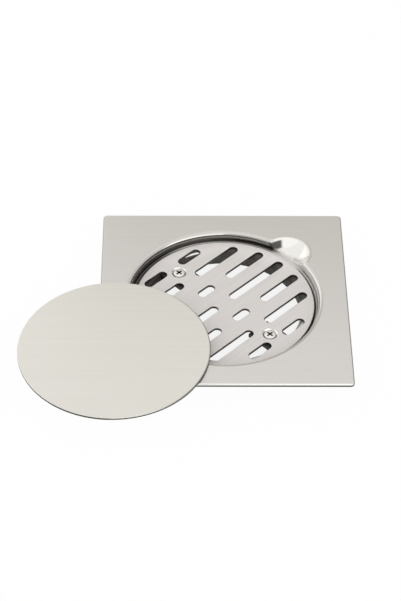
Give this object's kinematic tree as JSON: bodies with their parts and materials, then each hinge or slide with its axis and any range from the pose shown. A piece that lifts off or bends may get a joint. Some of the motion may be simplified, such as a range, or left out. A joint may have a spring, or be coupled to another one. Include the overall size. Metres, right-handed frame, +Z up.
{
  "type": "floor drain",
  "caption": "Square pressed-steel floor drain with a round recess, slotted strainer on screws, finger scoop, short outlet collar and a loose round cover lying on its corner.",
  "frame": {"origin": "middle of the outlet collar's open lower end, on the drain's axis", "axes": "+Z up through the recess, +X to the right along the front edge of the plate, +Y to the back"},
  "size_m": [0.1975, 0.1787, 0.0175],
  "materials": {
    "plate_steel": "brushed stainless sheet with a polished lip and scoop",
    "strainer_steel": "satin stainless sheet with punched slots",
    "screw_steel": "bright stainless, turned",
    "bracket_steel": "black coated steel",
    "cover_steel": "fine brushed stainless disc, grain along X"
  },
  "bodies": {
    "root": {"drain_plate": "plate_steel", "strainer": "strainer_steel", "strainer_screws": "screw_steel", "screw_bracket_back": "bracket_steel", "screw_bracket_front": "bracket_steel", "cover": "cover_steel"}
  },
  "joints": []
}
